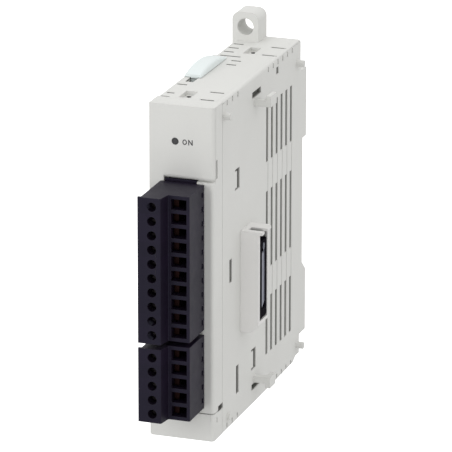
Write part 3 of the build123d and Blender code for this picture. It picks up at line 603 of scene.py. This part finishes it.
# the wire eye over the tongue
eye = {"y": 1.05, "rise": 1.75, "across": 0.42, "up": 0.80, "wire": 0.30, "depth": 0.12}
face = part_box("bus_plug")[1].x
eyeY, eyeZ = low.y + eye["y"] * mm, top + eye["rise"] * mm
bm = bmesh.new()
loop = [(face, eyeY + eye["across"] * mm * math.sin(turn), eyeZ - eye["up"] * mm * math.cos(turn))
        for turn in turns]
barPath(bm, [(face, eyeY, top)] + loop, eye["wire"] * mm, (eye["depth"] * mm, 0, 0))
finishPiece("busEye", bm, stripFinish, "case")
print("bus connectors made")

# ---------------------------------------------------------------- circuit board
boardEdge = 0.05
softCopy("mainBoard", "main_board", boardEdge * mm, board)
chip = {"legReach": 0.55, "legW": 0.3, "legT": 0.14, "legPitch": 0.8, "endRoom": 0.8, "lift": 0.12,
        "edge": 0.12, "kneeRise": 0.6, "kneeIn": 0.1, "toe": 0.3, "bend": 0.15, "innerBend": 0.22,
        "dotIn": 0.6, "dotSteps": 20}
# the dot that marks the first leg: radii and depths
dotProfile = [(0.0, -0.005), (0.26, -0.005), (0.30, 0.02)]
bodies, legs = bmesh.new(), bmesh.new()
for low, high in solids("board_chips"):
    tall = high.z - low.z > high.y - low.y
    reach = chip["legReach"] * mm
    inset = Vector((0, reach, 0) if tall else (0, 0, reach))
    block(bodies, low + inset + Vector((chip["lift"] * mm, 0, 0)), high - inset, chip["edge"] * mm)
    corner = high - 2 * inset - Vector((0, chip["dotIn"] * mm, chip["dotIn"] * mm))
    lathe(bodies, corner, (-1, 0, 0), [(r * mm, d * mm) for r, d in dotProfile],
          chip["dotSteps"])
    span, run = (high.z - low.z, 2) if tall else (high.y - low.y, 1)
    count = int((span / mm - chip["endRoom"]) / chip["legPitch"])
    for k in range(count):
        along = low[run] + span / 2 + (k - (count - 1) / 2) * chip["legPitch"] * mm
        for across, sign in ((low[3 - run], 1), (high[3 - run], -1)):
            knee, foot = across + sign * (reach + chip["kneeIn"] * mm), across
            half, thick = chip["legW"] * mm / 2, chip["legT"] * mm
            toe, bend, inner = [sign * chip[key] * mm for key in ("toe", "bend", "innerBend")]
            rise = low.x + chip["kneeRise"] * mm
            flat = [(low.x, foot), (low.x, foot + toe), (rise, knee - bend), (rise, knee),
                    (rise + thick, knee), (rise + thick, knee - inner),
                    (low.x + thick, foot + inner), (low.x + thick, foot)]
            if tall:
                slab(legs, [(x, y, along - half) for x, y in flat], (0, 0, 2 * half))
            else:
                slab(legs, [(x, along - half, z) for x, z in flat], (0, 2 * half, 0))
finishPiece("chipBodies", bodies, chipFinish, "case", ["board_chips"])
finishPiece("chipLegs", legs, pinFinish, "case")

# shares of the radius with heights over the board, then with distances below the top
can = {"foot": [(0, 0.3), (0.82, 0.3), (0.82, 0.9), (0.93, 1.1)],
       "top": [(0.93, 0.5), (0.90, 0.2), (0.80, 0.05), (0.74, 0), (0.70, 0.08), (0, 0.08)],
       "steps": 40, "plateT": 0.55, "plateEdge": 0.2}
cans, feet = bmesh.new(), bmesh.new()
for low, high in solids("board_capacitors"):
    r, rise = (high.y - low.y) / 2, high.x - low.x
    centre = Vector((low.x, (low.y + high.y) / 2, (low.z + high.z) / 2))
    profile = [(share * r, d * mm) for share, d in can["foot"]]
    profile += [(share * r, rise - d * mm) for share, d in can["top"]]
    lathe(cans, centre, (1, 0, 0), profile, can["steps"])
    block(feet, low, (low.x + can["plateT"] * mm, high.y, high.z), can["plateEdge"] * mm)
finishPiece("capacitorCans", cans, canFinish, "case", ["board_capacitors"])
finishPiece("capacitorFeet", feet, chipFinish, "case")

coilForm = {"coreIn": 1.2, "coreGap": 3.2, "coreHalf": 4.0, "coreEdge": 0.25, "flangeT": 1.6,
            "flangeHalf": 5.6, "flangeEdge": 0.2, "wraps": 9, "wrapLow": 0.9, "wrapTop": 0.3,
            "wrapHalf": 3.25, "wrapEdge": 0.16}
low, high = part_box("power_transformer")
middle = (low + high) / 2
cores, coil = bmesh.new(), bmesh.new()
inset, gap, half = [coilForm[key] * mm for key in ("coreIn", "coreGap", "coreHalf")]
for y0, y1 in ((low.y, middle.y - gap), (middle.y + gap, high.y)):
    block(cores, (low.x + inset, y0, middle.z - half), (high.x - inset, y1, middle.z + half),
          coilForm["coreEdge"] * mm)
finishPiece("transformerCore", cores, ferrite, "case", ["power_transformer"])
flange, half = coilForm["flangeT"] * mm, coilForm["flangeHalf"] * mm
for z0, z1 in ((low.z, low.z + flange), (high.z - flange, high.z)):
    block(coil, (low.x, middle.y - half, z0), (high.x, middle.y + half, z1),
          coilForm["flangeEdge"] * mm)
wrapT = (high.z - low.z - 2 * flange) / coilForm["wraps"]
half = coilForm["wrapHalf"] * mm
for k in range(coilForm["wraps"]):
    z0 = low.z + flange + k * wrapT
    block(coil, (low.x + coilForm["wrapLow"] * mm, middle.y - half, z0),
          (high.x - coilForm["wrapTop"] * mm, middle.y + half, z0 + wrapT),
          coilForm["wrapEdge"] * mm)
finishPiece("transformerCoil", coil, coilFinish, "case")

postScrew = {"headEdge": 0.14, "threadInner": 0.68, "threadOuter": 0.88, "pitch": 0.7,
             "overlap": 0.05}
bm = cleanCopy("board_screws")
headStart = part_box("power_lamp")[0].x
overlap = postScrew["overlap"] * mm
shank = [face for face in bm.faces if face.calc_center_median().x < headStart - overlap]
bmesh.ops.delete(bm, geom=shank, context="FACES")
soften(bm, postScrew["headEdge"] * mm)
for low, high in solids("board_screws"):
    start = Vector((headStart + overlap, (low.y + high.y) / 2, (low.z + high.z) / 2))
    thread(bm, start, (-1, 0, 0), start.x - low.x, postScrew)
finishPiece("boardScrews", bm, postScrewFinish, "case", ["board_screws"],
            smoothAngle["screw"])
powerLampEdge = 0.18
softCopy("powerLamp", "power_lamp", powerLampEdge * mm, lampFinish)

# solder fillets where the headers' pins come through: radii and heights
fillet = {"profile": [(0.95, 0), (0.80, 0.12), (0.55, 0.40), (0.45, 0.75), (0, 0.82)],
          "pinHalf": 0.4, "steps": 20}
bm = bmesh.new()
boardLow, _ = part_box("main_board")
for side in ("upper", "lower"):
    for low, high in solids(side + "_header_pins"):
        centre = Vector((boardLow.x, high.y - fillet["pinHalf"] * mm, (low.z + high.z) / 2))
        lathe(bm, centre, (-1, 0, 0), [(r * mm, d * mm) for r, d in fillet["profile"]],
              fillet["steps"])
finishPiece("solderJoints", bm, canFinish, "case")
print("circuit board made")

# ---------------------------------------------------------------- rail spring
# the spring gets a mesh of its own; the hook's pull joint and its travel are passed along but not
# used
finishPiece("railSpring", cleanCopy("rail_spring"), springFinish, "case",
            ["rail_spring"], smoothAngle["spring"])
springLow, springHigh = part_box("rail_spring")
joints = frame["record"]["behaviour"]["joints"]
pull = next(joint for joint in joints if joint["name"] == "rail_hook_pull")
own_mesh(bpy.data.objects["railSpring"], "rail_hook_pull", axis=(0, 0, 1), anchor=springLow,
          keep=1 - pull["range_m"][1] / (springHigh.z - springLow.z))
print("rail spring made")

# ---------------------------------------------------------------- floor, light and camera
studio = {"floorDrop": 0.012, "floorSize": 6.0, "floorTone": 0.5, "floorRough": 0.8,
          "floorGlow": 0.20, "world": 0.89}
# each light's place from the middle of the object, its size and its power
lights = {"topLight": ((-0.05, 0.10, 0.8), 0.7, 0.8), "frontLight": ((-0.5, -0.8, 0.3), 0.6, 1.7),
          "sideLight": ((0.9, -0.2, 0.3), 0.6, 0.25)}

bm = bmesh.new()
bmesh.ops.create_grid(bm, x_segments=1, y_segments=1, size=studio["floorSize"])
bmesh.ops.translate(bm, verts=bm.verts, vec=(0, 0, cadLow.z - studio["floorDrop"]))
floorMesh = bpy.data.meshes.new("floor")
bm.to_mesh(floorMesh)
bm.free()
floor = bpy.data.objects.new("floor", floorMesh)
bpy.context.scene.collection.objects.link(floor)
pale = Shader("paleFloor")
seen = pale.add("ShaderNodeLightPath", {}, {}, "Is Camera Ray")
floorMesh.materials.append(pale.finish({
    "Base Color": (*[studio["floorTone"]] * 3, 1), "Roughness": studio["floorRough"],
    "Specular IOR Level": 0.0, "Emission Strength": 1.0,
    "Emission Color": pale.blend(seen, (studio["floorGlow"],) * 3, (1, 1, 1))}))
floor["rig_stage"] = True

world = bpy.data.worlds.new("studioWorld")
bpy.context.scene.world = world
world.use_nodes = True
tree = world.node_tree
tree.nodes.clear()
path, mix = tree.nodes.new("ShaderNodeLightPath"), tree.nodes.new("ShaderNodeMixShader")
tree.links.new(path.outputs["Is Camera Ray"], mix.inputs[0])
for socket, strength in ((1, studio["world"]), (2, 1.0)):
    sky = tree.nodes.new("ShaderNodeBackground")
    sky.inputs["Color"].default_value = (1, 1, 1, 1)
    sky.inputs["Strength"].default_value = strength
    tree.links.new(sky.outputs[0], mix.inputs[socket])
tree.links.new(mix.outputs[0], tree.nodes.new("ShaderNodeOutputWorld").inputs["Surface"])

middle = (cadLow + cadHigh) / 2
for name, (away, size, power) in lights.items():
    light = bpy.data.lights.new(name, "AREA")
    light.shape = "RECTANGLE"
    light.size, light.size_y = size, size
    light.energy = power
    holder = bpy.data.objects.new(name, light)
    holder.location = middle + Vector(away)
    holder.rotation_euler = (-Vector(away)).to_track_quat("-Z", "Y").to_euler()
    bpy.context.scene.collection.objects.link(holder)

view = {"azimuth": 19.405, "elevation": 17.93, "roll": 0.055, "distance": 1.2437, "lens": 378.3,
        "target": (0.001493, -0.044, 0.004388), "near": 0.05, "far": 20}
turn, lift = math.radians(view["azimuth"]), math.radians(view["elevation"])
back = Vector((math.sin(turn) * math.cos(lift), -math.cos(turn) * math.cos(lift), math.sin(lift)))
cameraData = bpy.data.cameras.new("camera")
cameraData.lens = view["lens"]
cameraData.clip_start, cameraData.clip_end = view["near"], view["far"]
camera = bpy.data.objects.new("camera", cameraData)
camera.location = Vector(view["target"]) + back * view["distance"]
camera.rotation_mode = "QUATERNION"
camera.rotation_quaternion = (-back).to_track_quat("-Z", "Y") @ Matrix.Rotation(
    math.radians(view["roll"]), 4, "Z").to_quaternion()
bpy.context.scene.collection.objects.link(camera)
bpy.context.scene.camera = camera
bpy.context.scene.view_settings.view_transform = "Standard"
bpy.context.scene.cycles.use_denoising = True
print("studio set")

low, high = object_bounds()
